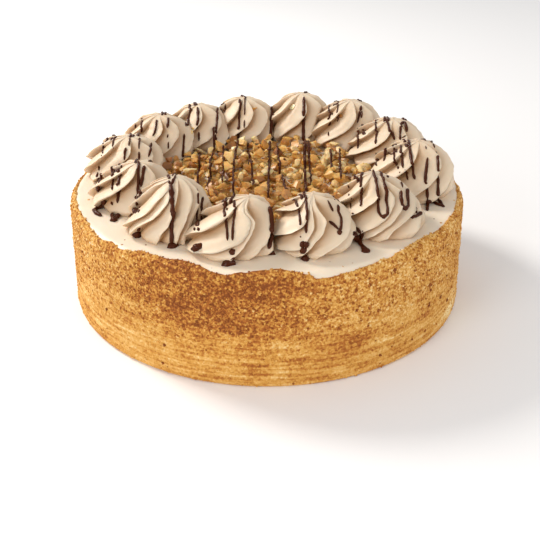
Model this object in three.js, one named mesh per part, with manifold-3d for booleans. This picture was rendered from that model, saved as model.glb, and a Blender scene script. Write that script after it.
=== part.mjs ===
// A round sponge cake, 230 mm across. Crumbs coat its sides and creep over the shoulder, caramel
// cream covers the flat top, thirteen star-tip swirls of the same cream stand in a ring, chopped
// nuts fill the middle, and one thin zigzag of dark chocolate runs back and forth over it all.
// Millimetres, +Z up, origin at the middle of the base. The front of the cake faces -Y, and every
// angle is measured from the front towards +X, so it grows counter-clockwise seen from above.
import * as THREE from 'three';
import { mergeVertices } from 'three/addons/utils/BufferGeometryUtils.js';
import Module from 'manifold-3d';

const wasm = await Module();
wasm.setup();
const radians = THREE.MathUtils.degToRad;

// ---- driving dimensions ----
const CAKE_RADIUS = 115;
const FOOT_RADIUS = 118;
const CAKE_HEIGHT = 63;
const FOOT_BEVEL = 2;
const SHOULDER_DROP = 6;
const SIDE_SWELLS = [
  { depth: 0.36, first: { lobes: 5, rise: 0.11 }, second: { lobes: -3, rise: 0.09 } },
  { depth: 0.36, first: { lobes: 17, rise: 0.31 }, second: { lobes: 11, rise: -0.23 } },
];
const CAKE_COLUMNS = 60;

const ICING_RADIUS = 110.65;
const ICING_DEPTH = 8;
const ICING_EDGE_DROP = 0.9;
const ICING_LEDGE_RADIUS = 104;
const THINNEST_RIM = 2;
const ICING_WAVES = [
  { lobes: 4, depth: 1.56, turn: 77 },
  { lobes: 9, depth: 1.67, turn: -141 },
  { lobes: 12, depth: 1.56, turn: -128 },
];

const SWIRL_COLUMNS_PER_RIB = 3;
const SWIRL_ROWS = 6;
const FOOT_TUCK = 0.10;
const FOOT_TUCK_HEIGHT = 0.12;
const PEAK_STEM = 0.045;
const DOME_POWER = 0.7;
const RIB_DEPTH = 0.28;
const RIB_DEPTH_FOOT = 0.08;
const RIB_FULL_CLIMB = 0.5;
const VALLEY_POWER = 0.8;
const RIB_UNEVENNESS = 0.05;
const RIB_SPACING = 0.2;
const TWIST_POWER = 1.3;
const LEAN_POWER = 1.6;
const LAP_WIDTH = 0.1;

const NUT_BED_RADIUS = 64;
const NUT_BED_THICKNESS = 2.6;
const NUT_BED_COLUMNS = 26;
const NUT_COUNT = 70;
const NUT_HALF_LENGTH = [2.5, 5.3];
const NUT_BREADTH = [0.62, 0.92];
const NUT_THICKNESS = [0.5, 0.75];
const NUT_CHIPPING = [0.78, 1.22];
const NUT_LIFT = [0.6, 1.8];
const NUT_TILT = 0.35;
const NUT_JITTER = 1.2;
const NUT_CLEARANCE = 1.3;
const NUT_SEED = 41;

const STRAND_WIDTH = 2.4;
const STRAND_HEIGHT = 0.9;
const STRAND_SINK = 1.2;
const STRAND_SAMPLE = 1;
const STRAND_TOLERANCE = 2.4;
const STRAND_WOBBLE = 0.8;
const STRAND_WOBBLE_LENGTH = 48;
const STRAND_FLOOR = 4;
const SHORTEST_STRAND = 10;
const BLOB_SIZE = [2.6, 3.2, 1.5];

const GAP = 0.3;
const HIGH_ABOVE = 2 * CAKE_HEIGHT;

// The swirls, from the front round to the right. Each has the angle and radius of its foot's
// centre on the cake, its own radius and height, the lean of its peak to the right and to the
// back, the turn of its first rib, the twist of the ribs from foot to peak, the count of ribs, how
// full its dome is, how deep the rope of cream laps over its own start, and how far up its tip
// reaches. Lap and tip are parts of its radius and height.
const SWIRLS = [
  [-13.5, 81, 24, 24.5, 7, 2, 8, 80, 7, 1.7, 0.25, 1.08],
  [16.5, 79, 23.5, 25, -1, 1, -10, 88, 7, 2.0, 0.22, 1.07],
  [46, 81, 25, 27, -3, 4, 35, 98, 7, 2.0, 0.18, 1.06],
  [83, 83, 25.5, 28, 4, 3, 10, 95, 8, 2.8, 0.16, 1.04],
  [115, 83, 25, 26, 3, 3, 0, 90, 7, 2.9, 0.16, 1.04],
  [143, 85, 24, 28, 4, 2, 25, 95, 7, 3.2, 0.16, 1.04],
  [165, 85, 23.5, 28.5, 1, 2, 40, 95, 7, 3.0, 0.18, 1.04],
  [-169, 82, 23, 26, 0, 2, 5, 95, 6, 3.4, 0.16, 1.03],
  [-146, 82, 22.5, 25.5, 1, 1, 30, 95, 7, 3.4, 0.16, 1.03],
  [-124, 84, 23.5, 25.5, 1, 1, 15, 95, 7, 3.4, 0.16, 1.03],
  [-99, 87, 24.5, 24, 3, -2, 40, 95, 7, 3.2, 0.16, 1.03],
  [-71, 81, 24, 23.5, 6, -2, 0, 95, 8, 2.2, 0.16, 1.05],
  [-40, 80, 24, 27, 4, 4, 25, 90, 8, 2.0, 0.16, 1.06],
].map(([angle, ring, radius, height, leanX, leanY, turn, twist, ribs, fullness, lap, tip]) => ({
  angle: radians(angle),
  ring,
  radius,
  height,
  lean: [leanX, leanY],
  turn: radians(turn),
  twist: radians(twist),
  ribs,
  fullness,
  lap,
  tip,
}));

// Where the chocolate zigzag turns: x at the front and at the back, from the left to the right,
// and how far from the cake's axis the turns lie.
const FRONT_TURNS = [-93, -83, -65, -47.5, -33, -18, 0.5, 17.7, 32, 46, 58, 72, 92];
const BACK_TURNS = [-93, -80, -66, -48, -30, -16.5, 3, 25.5, 45, 62, 76, 87, 97];
const TURN_RADIUS = 96;
const FRONT_TURN_SHIFTS = [6, 2, 1, 1, -3, 6, -3, -1, -1, 1, -9, -5, 3];
const BACK_TURN_SHIFTS = [0, -3, -1, 0, 1, 1, 2, 8, 6, 12, 7, 5, 3];

// ---- materials ----
const CREAM = { color: 0xe9d5b8, roughness: 0.5, metalness: 0 };
const CRUMBS = { color: 0xd9a35a, roughness: 0.9, metalness: 0 };
const NUTS = { color: 0xc99a52, roughness: 0.55, metalness: 0 };

// ---- seeded random numbers and places ----
function seeded(seed) {
  let state = seed >>> 0;
  return () => {
    state = (state + 0x6d2b79f5) >>> 0;
    let mixed = Math.imul(state ^ (state >>> 15), 1 | state);
    mixed = (mixed + Math.imul(mixed ^ (mixed >>> 7), 61 | mixed)) ^ mixed;
    return ((mixed ^ (mixed >>> 14)) >>> 0) / 4294967296;
  };
}

function between([low, high], random) {
  return low + (high - low) * random();
}

function onCircle(angle, radius, z) {
  return new THREE.Vector3(radius * Math.sin(angle), -radius * Math.cos(angle), z);
}

// ---- closed meshes and solids ----
function welded(geometry) {
  geometry.deleteAttribute('normal');
  geometry.deleteAttribute('uv');
  const merged = mergeVertices(geometry, 1e-4);
  const kept = [];
  const index = merged.index.array;
  for (let i = 0; i < index.length; i += 3) {
    const [a, b, c] = [index[i], index[i + 1], index[i + 2]];
    if (a !== b && b !== c && c !== a) {
      kept.push(a, b, c);
    }
  }
  merged.setIndex(kept);
  return merged;
}

function solid(geometry) {
  const closed = welded(geometry);
  return new wasm.Manifold(new wasm.Mesh({
    numProp: 3,
    vertProperties: new Float32Array(closed.attributes.position.array),
    triVerts: new Uint32Array(closed.index.array),
  }));
}

function geometryOf(body) {
  const mesh = body.getMesh();
  const geometry = new THREE.BufferGeometry();
  geometry.setAttribute('position', new THREE.BufferAttribute(mesh.vertProperties, 3));
  geometry.setIndex(new THREE.BufferAttribute(mesh.triVerts, 1));
  geometry.computeVertexNormals();
  return geometry;
}

function named(name, body, look) {
  const mesh = new THREE.Mesh(geometryOf(body), new THREE.MeshStandardMaterial(look));
  mesh.name = name;
  return mesh;
}

// A body of revolution from a profile of [radius, height] that starts and ends on the axis, each
// of whose points is then moved by place(radius, height, angle).
function turned(profile, columns, place) {
  const outline = profile.map(([radius, height]) => new THREE.Vector2(radius, height));
  const geometry = new THREE.LatheGeometry(outline, columns);
  const position = geometry.attributes.position;
  for (let column = 0; column <= columns; column++) {
    const angle = 2 * Math.PI * (column % columns) / columns;
    profile.forEach(([radius, height], row) => {
      const point = place(radius, height, angle);
      position.setXYZ(column * profile.length + row, point.x, point.y, point.z);
    });
  }
  return solid(geometry);
}

// ---- the cake and its icing ----
function icingEdge(angle) {
  let radius = ICING_RADIUS;
  for (const { lobes, depth, turn } of ICING_WAVES) {
    radius += depth * Math.cos(lobes * angle - radians(turn));
  }
  return Math.min(radius, CAKE_RADIUS - THINNEST_RIM);
}

function sideSwell(angle, height) {
  const wave = ({ lobes, rise }) => Math.sin(lobes * angle + rise * height);
  return SIDE_SWELLS.reduce((sum, { depth, first, second }) => sum + depth * wave(first) * wave(second), 0);
}

function cakeBody() {
  const sideTop = CAKE_HEIGHT - SHOULDER_DROP;
  const side = [0, 0.25, 0.5, 0.75, 1].map((climb) => [
    THREE.MathUtils.lerp(FOOT_RADIUS, CAKE_RADIUS, climb),
    THREE.MathUtils.lerp(FOOT_BEVEL, sideTop, climb),
  ]);
  const profile = [
    [0, 0],
    [FOOT_RADIUS - FOOT_BEVEL, 0],
    ...side,
    [CAKE_RADIUS - SHOULDER_DROP / 4, CAKE_HEIGHT - SHOULDER_DROP / 3],
    [ICING_RADIUS, CAKE_HEIGHT - ICING_EDGE_DROP / 2],
    [ICING_RADIUS, CAKE_HEIGHT - ICING_DEPTH],
    [0, CAKE_HEIGHT - ICING_DEPTH],
  ];
  return turned(profile, CAKE_COLUMNS, (radius, height, angle) => {
    if (radius === ICING_RADIUS) {
      return onCircle(angle, icingEdge(angle), height);
    }
    const swell = radius > ICING_RADIUS && height > FOOT_BEVEL ? sideSwell(angle, height) : 0;
    return onCircle(angle, radius + swell, height);
  });
}

function icingDisc() {
  const floor = CAKE_HEIGHT - ICING_DEPTH + GAP;
  const profile = [
    [0, floor],
    [ICING_RADIUS, floor],
    [ICING_RADIUS, CAKE_HEIGHT - ICING_EDGE_DROP],
    [ICING_LEDGE_RADIUS, CAKE_HEIGHT],
    [0, CAKE_HEIGHT],
  ];
  return turned(profile, CAKE_COLUMNS, (radius, height, angle) => {
    return onCircle(angle, radius === ICING_RADIUS ? icingEdge(angle) - GAP : radius, height);
  });
}

// ---- the piped swirls ----
// How wide a swirl is at a part of its height, as a part of its own radius: tucked in at the foot,
// a full dome above it, and a thin stem where the tip of the bag pulled away.
function swirlOutline(climb, fullness) {
  const dome = (1 - climb ** fullness) ** DOME_POWER;
  const tuck = 1 - FOOT_TUCK * (1 - Math.min(climb / FOOT_TUCK_HEIGHT, 1));
  return (PEAK_STEM + (1 - PEAK_STEM) * dome) * tuck;
}

function ribDepth(climb) {
  return THREE.MathUtils.lerp(RIB_DEPTH_FOOT, RIB_DEPTH, Math.min(climb / RIB_FULL_CLIMB, 1));
}

// The ribs of a star tip stand out as crests round the dome, turning as they climb. One valley is
// deeper, where the rope of cream laps over its own start. swell widens the whole form.
function swirlSolid(swirl, swell) {
  const { angle, radius, height, lean, turn, twist, ribs, fullness, lap, tip } = swirl;
  const foot = onCircle(angle, swirl.ring, CAKE_HEIGHT + GAP);
  const profile = [[0, 0]];
  for (let row = 0; row <= SWIRL_ROWS; row++) {
    const climb = Math.sin(Math.PI / 2 * row / SWIRL_ROWS);
    profile.push([radius * swirlOutline(climb, fullness), height * climb]);
  }
  profile.push([0, height * tip]);
  return turned(profile, ribs * SWIRL_COLUMNS_PER_RIB, (rowRadius, rowHeight, ribAngle) => {
    const climb = Math.min(rowHeight / height, 1);
    const valley = Math.abs(Math.sin(ribs * ribAngle / 2)) ** VALLEY_POWER;
    const round = ribAngle / (2 * Math.PI);
    const lapping = round < 1 - LAP_WIDTH ? round / (1 - LAP_WIDTH) : (1 - round) / LAP_WIDTH;
    const crest = 1 + RIB_UNEVENNESS * Math.sin(3 * ribAngle + turn);
    const unevenness = Math.sin(ribAngle + turn) + 0.5 * Math.sin(2 * ribAngle + 2.3 * turn);
    const turning = turn + twist * (1 - (1 - climb) ** TWIST_POWER);
    const form = rowRadius * crest * (1 - ribDepth(climb) * valley) * (1 + lap * (lapping - 0.5));
    const side = onCircle(
      angle + ribAngle + RIB_SPACING * unevenness + turning,
      rowRadius > 0 ? form + swell : 0,
      rowHeight > 0 ? rowHeight + swell : -swell,
    );
    const shift = climb ** LEAN_POWER;
    return side.add(foot).add(new THREE.Vector3(lean[0] * shift, lean[1] * shift, 0));
  });
}

// A swirl ends at the upright plane between it and each neighbour.
function keptClear(body, index) {
  const swirl = SWIRLS[index];
  const own = onCircle(swirl.angle, swirl.ring, 0);
  let cut = body;
  for (const step of [1, SWIRLS.length - 1]) {
    const neighbour = SWIRLS[(index + step) % SWIRLS.length];
    const other = onCircle(neighbour.angle, neighbour.ring, 0);
    const middle = own.clone().lerp(other, swirl.radius / (swirl.radius + neighbour.radius));
    const inward = own.clone().sub(other).normalize();
    cut = cut.trimByPlane([inward.x, inward.y, 0], inward.dot(middle) + GAP / 2);
  }
  return cut;
}

function roundSwirls(swell) {
  return SWIRLS.map((swirl) => swirlSolid(swirl, swell)).reduce((all, one) => all.add(one));
}

// ---- the nut bed ----
function nutPiece(x, y, random) {
  const piece = welded(new THREE.IcosahedronGeometry(1, 0));
  const position = piece.attributes.position;
  for (let i = 0; i < position.count; i++) {
    const chip = between(NUT_CHIPPING, random);
    position.setXYZ(i, position.getX(i) * chip, position.getY(i) * chip, position.getZ(i) * chip);
  }
  const half = between(NUT_HALF_LENGTH, random);
  piece.scale(half, half * between(NUT_BREADTH, random), half * between(NUT_THICKNESS, random));
  piece.rotateX(between([-NUT_TILT, NUT_TILT], random));
  piece.rotateZ(2 * Math.PI * random());
  piece.translate(x, y, CAKE_HEIGHT + GAP + NUT_BED_THICKNESS + between(NUT_LIFT, random));
  return solid(piece);
}

// Chopped nuts lie evenly over a low bed that fills the ring up to the swirls. A piece that would
// touch a swirl moves inwards, and is left out where that isn't enough.
function nutBed() {
  const floor = CAKE_HEIGHT + GAP;
  const profile = [
    [0, floor],
    [NUT_BED_RADIUS, floor],
    [NUT_BED_RADIUS, floor + 0.5 * NUT_BED_THICKNESS],
    [NUT_BED_RADIUS * 0.6, floor + NUT_BED_THICKNESS],
    [0, floor + NUT_BED_THICKNESS],
  ];
  const core = turned(profile, NUT_BED_COLUMNS, (radius, height, angle) => (
    onCircle(angle, radius, height)
  ));
  const scalloped = core.subtract(roundSwirls(1.2 * GAP)).decompose();
  const base = scalloped.sort((one, other) => other.volume() - one.volume())[0];
  let bed = base;
  const keepOut = roundSwirls(NUT_CLEARANCE);
  const random = seeded(NUT_SEED);
  const goldenAngle = Math.PI * (3 - Math.sqrt(5));
  for (let i = 0; i < NUT_COUNT; i++) {
    const radius = NUT_BED_RADIUS * Math.sqrt((i + 0.5) / NUT_COUNT);
    const spot = onCircle(i * goldenAngle, radius, 0);
    spot.x += between([-NUT_JITTER, NUT_JITTER], random);
    spot.y += between([-NUT_JITTER, NUT_JITTER], random);
    const pieceSeed = 1000 * random();
    for (const inwards of [1, 0.96, 0.92, 0.88]) {
      const piece = nutPiece(spot.x * inwards, spot.y * inwards, seeded(pieceSeed));
      if (piece.intersect(keepOut).isEmpty() && !piece.intersect(base).isEmpty()) {
        bed = bed.add(piece);
        break;
      }
    }
  }
  return bed;
}

// ---- the chocolate ----
// Keeps the fewest points of a line that stay within a tolerance of the rest.
function simplified(points, tolerance) {
  const chord = new THREE.Line3(points[0], points[points.length - 1]);
  const nearest = new THREE.Vector3();
  let worst = 0;
  let split = 0;
  for (let i = 1; i < points.length - 1; i++) {
    chord.closestPointToPoint(points[i], true, nearest);
    const distance = nearest.distanceTo(points[i]);
    if (distance > worst) {
      worst = distance;
      split = i;
    }
  }
  if (worst <= tolerance) {
    return [points[0], points[points.length - 1]];
  }
  const before = simplified(points.slice(0, split + 1), tolerance);
  return [...before.slice(0, -1), ...simplified(points.slice(split), tolerance)];
}

// A strand with a three-sided section, its flat side sunk in what it lies on. Every strand runs
// from the front to the back, so +X is always across it.
function strandSolid(points) {
  const sections = points.map((point, i) => {
    const along = points[Math.min(i + 1, points.length - 1)].clone();
    along.sub(points[Math.max(i - 1, 0)]).normalize();
    const across = new THREE.Vector3(1, 0, 0).addScaledVector(along, -along.x).normalize();
    const out = across.clone().cross(along);
    const sunk = point.clone().addScaledVector(out, -STRAND_SINK);
    return [
      sunk.clone().addScaledVector(across, STRAND_WIDTH / 2),
      point.clone().addScaledVector(out, STRAND_HEIGHT),
      sunk.clone().addScaledVector(across, -STRAND_WIDTH / 2),
    ];
  });
  const faces = [0, 1, 2];
  for (let i = 0; i + 1 < sections.length; i++) {
    for (let corner = 0; corner < 3; corner++) {
      const a = 3 * i + corner;
      const b = 3 * i + (corner + 1) % 3;
      faces.push(a, b + 3, b, a, a + 3, b + 3);
    }
  }
  const last = 3 * (sections.length - 1);
  faces.push(last, last + 2, last + 1);
  const geometry = new THREE.BufferGeometry().setFromPoints(sections.flat());
  geometry.setIndex(faces);
  return solid(geometry);
}

function turnPoint(x, shift, side) {
  const radius = TURN_RADIUS + shift;
  return new THREE.Vector3(x, side * Math.sqrt(radius * radius - x * x), 0);
}

function blobSolid(spot) {
  const geometry = new THREE.SphereGeometry(1, 6, 3);
  geometry.rotateX(Math.PI / 2);
  geometry.scale(...BLOB_SIZE);
  geometry.translate(spot.x, spot.y, spot.z);
  return solid(geometry);
}

// Lets a stroke of the zigzag fall on the swirls, and returns the strands that lie on each. The
// stroke wobbles a little as the bag moves, from a phase of its own.
function fallenStrands(targets, front, back, phase) {
  const caster = new THREE.Raycaster();
  const strands = targets.map(() => []);
  const steps = Math.round(front.distanceTo(back) / STRAND_SAMPLE);
  let current = -1;
  let run = [];
  for (let step = 0; step <= steps + 1; step++) {
    const point = front.clone().lerp(back, step / steps);
    point.x += STRAND_WOBBLE * Math.sin(2 * Math.PI * point.y / STRAND_WOBBLE_LENGTH + phase);
    point.z = HIGH_ABOVE;
    caster.set(point, new THREE.Vector3(0, 0, -1));
    const hit = step > steps ? undefined : caster.intersectObjects(targets)[0];
    const carried = hit && hit.point.z > CAKE_HEIGHT + STRAND_FLOOR;
    const target = carried ? targets.indexOf(hit.object) : -1;
    if (target !== current) {
      if (current >= 0 && run[0].distanceTo(run[run.length - 1]) > SHORTEST_STRAND) {
        strands[current].push(simplified(run, STRAND_TOLERANCE));
      }
      current = target;
      run = [];
    }
    if (carried) {
      run.push(hit.point.clone());
    }
  }
  return strands;
}

// One strand stands for each pair of strokes that meets at a front turn, and ends in a blob there,
// on a swirl or on the icing in front of it.
function withChocolate(icing, swirls) {
  const targets = swirls.map((body) => new THREE.Mesh(geometryOf(body)));
  const caster = new THREE.Raycaster();
  const keepOut = roundSwirls(2 * GAP);
  const dressed = { icing, swirls: [...swirls] };
  FRONT_TURNS.forEach((x, i) => {
    const front = turnPoint(x, FRONT_TURN_SHIFTS[i], -1);
    const back = turnPoint(BACK_TURNS[i], BACK_TURN_SHIFTS[i], 1);
    fallenStrands(targets, front, back, i).forEach((strands, index) => {
      for (const points of strands) {
        dressed.swirls[index] = dressed.swirls[index].add(strandSolid(points));
      }
    });
    caster.set(new THREE.Vector3(front.x, front.y, HIGH_ABOVE), new THREE.Vector3(0, 0, -1));
    const hit = caster.intersectObjects(targets)[0];
    if (hit && hit.point.z > CAKE_HEIGHT + STRAND_FLOOR) {
      const index = targets.indexOf(hit.object);
      dressed.swirls[index] = dressed.swirls[index].add(blobSolid(hit.point));
      return;
    }
    for (let outwards = 1; outwards < ICING_LEDGE_RADIUS / front.length(); outwards += 0.01) {
      const blob = blobSolid(new THREE.Vector3(front.x, front.y * outwards, CAKE_HEIGHT));
      if (blob.intersect(keepOut).isEmpty()) {
        dressed.icing = dressed.icing.add(blob);
        return;
      }
    }
  });
  return dressed;
}

// ---- the whole cake ----
const swirls = SWIRLS.map((swirl, index) => keptClear(swirlSolid(swirl, 0), index));
const dressed = withChocolate(icingDisc(), swirls);

const cake = new THREE.Group();
cake.add(named('cake_body', cakeBody(), CRUMBS));
cake.add(named('icing_top', dressed.icing, CREAM));
cake.add(named('nut_bed', nutBed(), NUTS));
dressed.swirls.forEach((body, index) => {
  cake.add(named(`swirl_${String(index + 1).padStart(2, '0')}`, keptClear(body, index), CREAM));
});

export default cake;
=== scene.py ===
import math
import random

import bmesh
import bpy
from mathutils import Matrix, Vector, noise
from mathutils.bvhtree import BVHTree


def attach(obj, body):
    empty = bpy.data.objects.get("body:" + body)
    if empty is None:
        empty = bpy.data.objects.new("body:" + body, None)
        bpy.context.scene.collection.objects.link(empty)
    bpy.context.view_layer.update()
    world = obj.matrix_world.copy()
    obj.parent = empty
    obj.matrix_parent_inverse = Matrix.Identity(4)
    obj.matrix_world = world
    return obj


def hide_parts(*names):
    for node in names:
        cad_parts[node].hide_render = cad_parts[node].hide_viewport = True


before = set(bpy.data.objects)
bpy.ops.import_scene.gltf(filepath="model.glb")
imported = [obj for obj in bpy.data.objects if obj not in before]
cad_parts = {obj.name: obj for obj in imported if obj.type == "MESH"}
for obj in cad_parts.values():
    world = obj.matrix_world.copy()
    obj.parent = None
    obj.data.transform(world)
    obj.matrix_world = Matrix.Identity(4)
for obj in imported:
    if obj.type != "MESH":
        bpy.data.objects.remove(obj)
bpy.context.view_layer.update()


# ---- The crumb-coated side ----
# The sponge round is masked with cream and rolled in dry golden cake crumbs, pressed on by hand.
# They creep unevenly over the shoulder, and a scraper left level streaks low on the side. Toasted
# crumbs make darker patches, and where the coat is thin the pale cream shows through.
MM = 0.001
FOOT_RADIUS = 117.1
SIDE_TOP_RADIUS = 114.3
SIDE_TOP = 57.2
SHOULDER = 5.4
CRUMB_EDGE = [
    (-180, 62.5), (-165, 63.6), (-150, 61.8), (-135, 62.8), (-120, 61.8), (-103, 60.5), (-90, 61.5),
    (-78, 62.3), (-66, 62.8), (-60.5, 63.2), (-54, 61.8), (-48.5, 61.4), (-45, 62.4), (-41, 61.4),
    (-38, 62.8), (-34, 65.4), (-27, 66.0), (-23, 67.2), (-18, 66.0), (-16, 63.6), (-13.5, 61.4),
    (-10, 61.6), (-6, 63.3), (0, 65.6), (3, 66.8), (7, 63.8), (10, 61.6), (12, 59.4), (15, 59.2),
    (20, 60.0), (25, 61.0), (32, 61.9), (36.5, 62.8), (43, 65.0), (47.5, 64.2), (52.8, 63.2),
    (60, 63.2), (72, 62.8), (83, 62.0), (90, 60.5), (100, 62.2), (110, 61.0), (125, 63.2), (140, 61.4),
    (155, 62.8), (180, 62.5),
]
# Where the crumbs are toasted darker in patches: degrees round from the front and height in the
# middle, how far each patch reaches both ways, and how brown it is.
TOASTED_PATCHES = [(21, 23, 6.5, 8, 0.45), (3, 56, 7, 5, 0.3), (4, 14, 15, 12, 0.15)]
# The parts of the coat's skin, of 1 in all: its base, the side, its edge on the cream and the hidden
# flat under the cream.
BASE_END, SIDE_END, EDGE_END, HIDDEN_START = 0.02, 0.92, 0.96, 0.98
FOOT_ROUNDING = 1.2


def on_circle(angle, radius, height):
    return Vector((radius * math.sin(angle), -radius * math.cos(angle), height)) * MM


def between(low, high, part):
    part = min(max((part - low) / (high - low), 0.0), 1.0)
    return part * part * (3 - 2 * part)


def linear(hex_colour):
    channels = [int(hex_colour[i:i + 2], 16) / 255 for i in (1, 3, 5)]
    return [*(c / 12.92 if c <= 0.04045 else ((c + 0.055) / 1.055) ** 2.4 for c in channels), 1.0]


def add(tree, kind, settings=None, **inputs):
    node = tree.nodes.new(kind)
    for name, value in (settings or {}).items():
        setattr(node, name, value)
    for name, value in inputs.items():
        socket = node.inputs[int(name[1:]) if name[0] == "_" else name.replace("_", " ")]
        if isinstance(value, bpy.types.NodeSocket):
            tree.links.new(value, socket)
        else:
            socket.default_value = value
    return node


def new_material(name):
    material = bpy.data.materials.new(name)
    material.use_nodes = True
    tree = material.node_tree
    return material, tree, tree.nodes["Principled BSDF"]


def wrapped_skin(columns, rows, place):
    """A closed skin from a grid that is wrapped round: place(round, up) takes two parts from 0 to 1
    and gives a point and the tone that the material reads there."""
    skin = bmesh.new()
    layer = skin.verts.layers.float.new("tone")
    bmesh.ops.create_grid(skin, x_segments=columns, y_segments=rows, size=1.0)
    for vert in skin.verts:
        vert.co, vert[layer] = place((vert.co.x + 1) / 2, (vert.co.y + 1) / 2)
    bmesh.ops.remove_doubles(skin, verts=skin.verts, dist=1e-6)
    bmesh.ops.recalc_face_normals(skin, faces=skin.faces)
    return skin


def put_in_place(name, skin, material, nodes=(), sharp=None):
    mesh = bpy.data.meshes.new(name)
    skin.to_mesh(mesh)
    skin.free()
    mesh.materials.append(material)
    mesh.polygons.foreach_set("use_smooth", [True] * len(mesh.polygons))
    if sharp is not None:
        mesh.set_sharp_from_angle(angle=math.radians(sharp))
    piece = bpy.data.objects.new(name, mesh)
    bpy.context.scene.collection.objects.link(piece)
    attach(piece, "root")
    if nodes:
        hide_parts(*nodes)
    return piece


def degrees_round(angle):
    return (math.degrees(angle) + 180) % 360 - 180


def crumb_edge(angle):
    """How far up the side and over the shoulder the crumbs reach, with the lumpy edge they have."""
    degrees = degrees_round(angle)
    for (start, first), (end, last) in zip(CRUMB_EDGE, CRUMB_EDGE[1:]):
        if start <= degrees <= end:
            reach = first + (last - first) * between(start, end, degrees)
            break
    spot = Vector((math.sin(angle), math.cos(angle), 0))
    return reach + 0.7 * noise.noise(spot * 16) + 0.4 * noise.noise(spot * 40)


SIDE_LENGTH = SIDE_TOP - FOOT_ROUNDING
ARC_LENGTH = SHOULDER * math.pi / 2
EDGE_INNER = 101.0
FOOT_START = -1.7


def outer_section(length):
    """The skin's section: radius, height and outward direction at a length up from the foot."""
    if length < 0:
        drop = min(length / FOOT_START, 1.0)
        return FOOT_RADIUS - FOOT_ROUNDING * drop, FOOT_ROUNDING * (1 - drop), (1 - 0.6 * drop, -0.5 * drop)
    if length < SIDE_LENGTH:
        climb = length / SIDE_LENGTH
        return FOOT_RADIUS + (SIDE_TOP_RADIUS - FOOT_RADIUS) * climb, FOOT_ROUNDING + length, (1.0, 0.05)
    if length < SIDE_LENGTH + ARC_LENGTH:
        turn = (length - SIDE_LENGTH) / SHOULDER
        out = math.cos(turn), math.sin(turn)
        return SIDE_TOP_RADIUS - SHOULDER + SHOULDER * out[0], SIDE_TOP + SHOULDER * out[1], out
    inwards = length - SIDE_LENGTH - ARC_LENGTH
    return SIDE_TOP_RADIUS - SHOULDER - inwards, SIDE_TOP + SHOULDER, (0.0, 1.0)


def length_at(radius):
    """Where on the section the skin has this radius, above the side."""
    inner = SIDE_TOP_RADIUS - SHOULDER
    if radius <= inner:
        return SIDE_LENGTH + ARC_LENGTH + inner - radius
    turn = math.acos(min((radius - inner) / SHOULDER, 1.0))
    return SIDE_LENGTH + SHOULDER * turn


def toasting(angle, height):
    """How brown the crumbs are here, 0 to 1: most in a band over the middle of the front."""
    degrees = degrees_round(angle)
    spot = Vector((math.sin(angle), math.cos(angle), height / 60))
    low = 36 - 8 * math.exp(-((degrees + 7) / 20) ** 2) + 4 * noise.noise(spot * 4.1)
    front = math.exp(-((degrees + 14) / 25) ** 2) * between(low - 8, low + 7, height)
    behind = between(0.0, 0.35, noise.noise(spot * 1.7 + Vector((9, 2, 4)))) * between(75, 110, abs(degrees))
    patches = sum(brown * math.exp(-((degrees - across) / width) ** 2 - ((height - up) / tall) ** 2)
                  for across, up, width, tall, brown in TOASTED_PATCHES)
    mottle = 0.95 + 0.4 * noise.noise(Vector((spot.x, spot.y, 2 * spot.z)) * 9)
    browned = (0.66 * front + 0.4 * behind + patches) * mottle + 0.12 + 0.3 * noise.noise(spot * 9)
    return min(max(browned, 0), 1)


def coat_surface(angle, length, edge):
    """The crumb surface at a length up the section: its place and its outward direction. The coat
    ends at the edge, also a length up the section."""
    radius, height, out = outer_section(length)
    spot = Vector((FOOT_RADIUS * math.sin(angle), FOOT_RADIUS * math.cos(angle), length))
    swells = 0.45 * noise.noise(spot * 0.035) + 0.3 * noise.noise(spot * 0.11)
    low_down = 1 - between(20, 42, height)
    streaks = noise.noise(Vector((spot.x * 0.02, spot.y * 0.02, length * 0.6)))
    grains = 0.5 - noise.voronoi(spot * 0.6)[0][0]
    relief = swells + 0.35 * low_down * streaks + (0.45 - 0.25 * low_down) * grains
    inside = between(-0.9, 0.2, edge - length)
    thicker = 0.15 + 0.75 * between(SIDE_LENGTH, SIDE_LENGTH + 6, length)
    rise = (thicker + min(relief, 0.7)) * between(-0.5, 3.0, length) * inside + 1.8 * (inside - 1)
    return on_circle(angle, radius + out[0] * rise, max(height + out[1] * rise, 0)), out


def coat_point(around, up):
    angle = 2 * math.pi * around
    if up < BASE_END:
        return on_circle(angle, (FOOT_RADIUS - FOOT_ROUNDING) * up / BASE_END, 0), 0.6
    if up > HIDDEN_START:
        return on_circle(angle, EDGE_INNER * (1 - up) / (1 - HIDDEN_START), 61.2), 0.6
    edge = crumb_edge(angle)
    tucked_in = edge + 1.2
    if up < SIDE_END:
        length = FOOT_START + (edge - FOOT_START) * (up - BASE_END) / (SIDE_END - BASE_END)
    elif up < EDGE_END:
        length = edge + (tucked_in - edge) * (up - SIDE_END) / (EDGE_END - SIDE_END)
    else:
        inwards = (up - EDGE_END) / (HIDDEN_START - EDGE_END)
        length = tucked_in + (length_at(EDGE_INNER) - tucked_in) * inwards
    point = coat_surface(angle, length, edge)[0]
    height = point.z / MM
    smear = math.exp(-((degrees_round(angle) - 64) / 7) ** 2 - ((height - 8) / 5) ** 2)
    return point, 0.61 - 0.58 * toasting(angle, height) + 0.55 * smear


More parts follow.
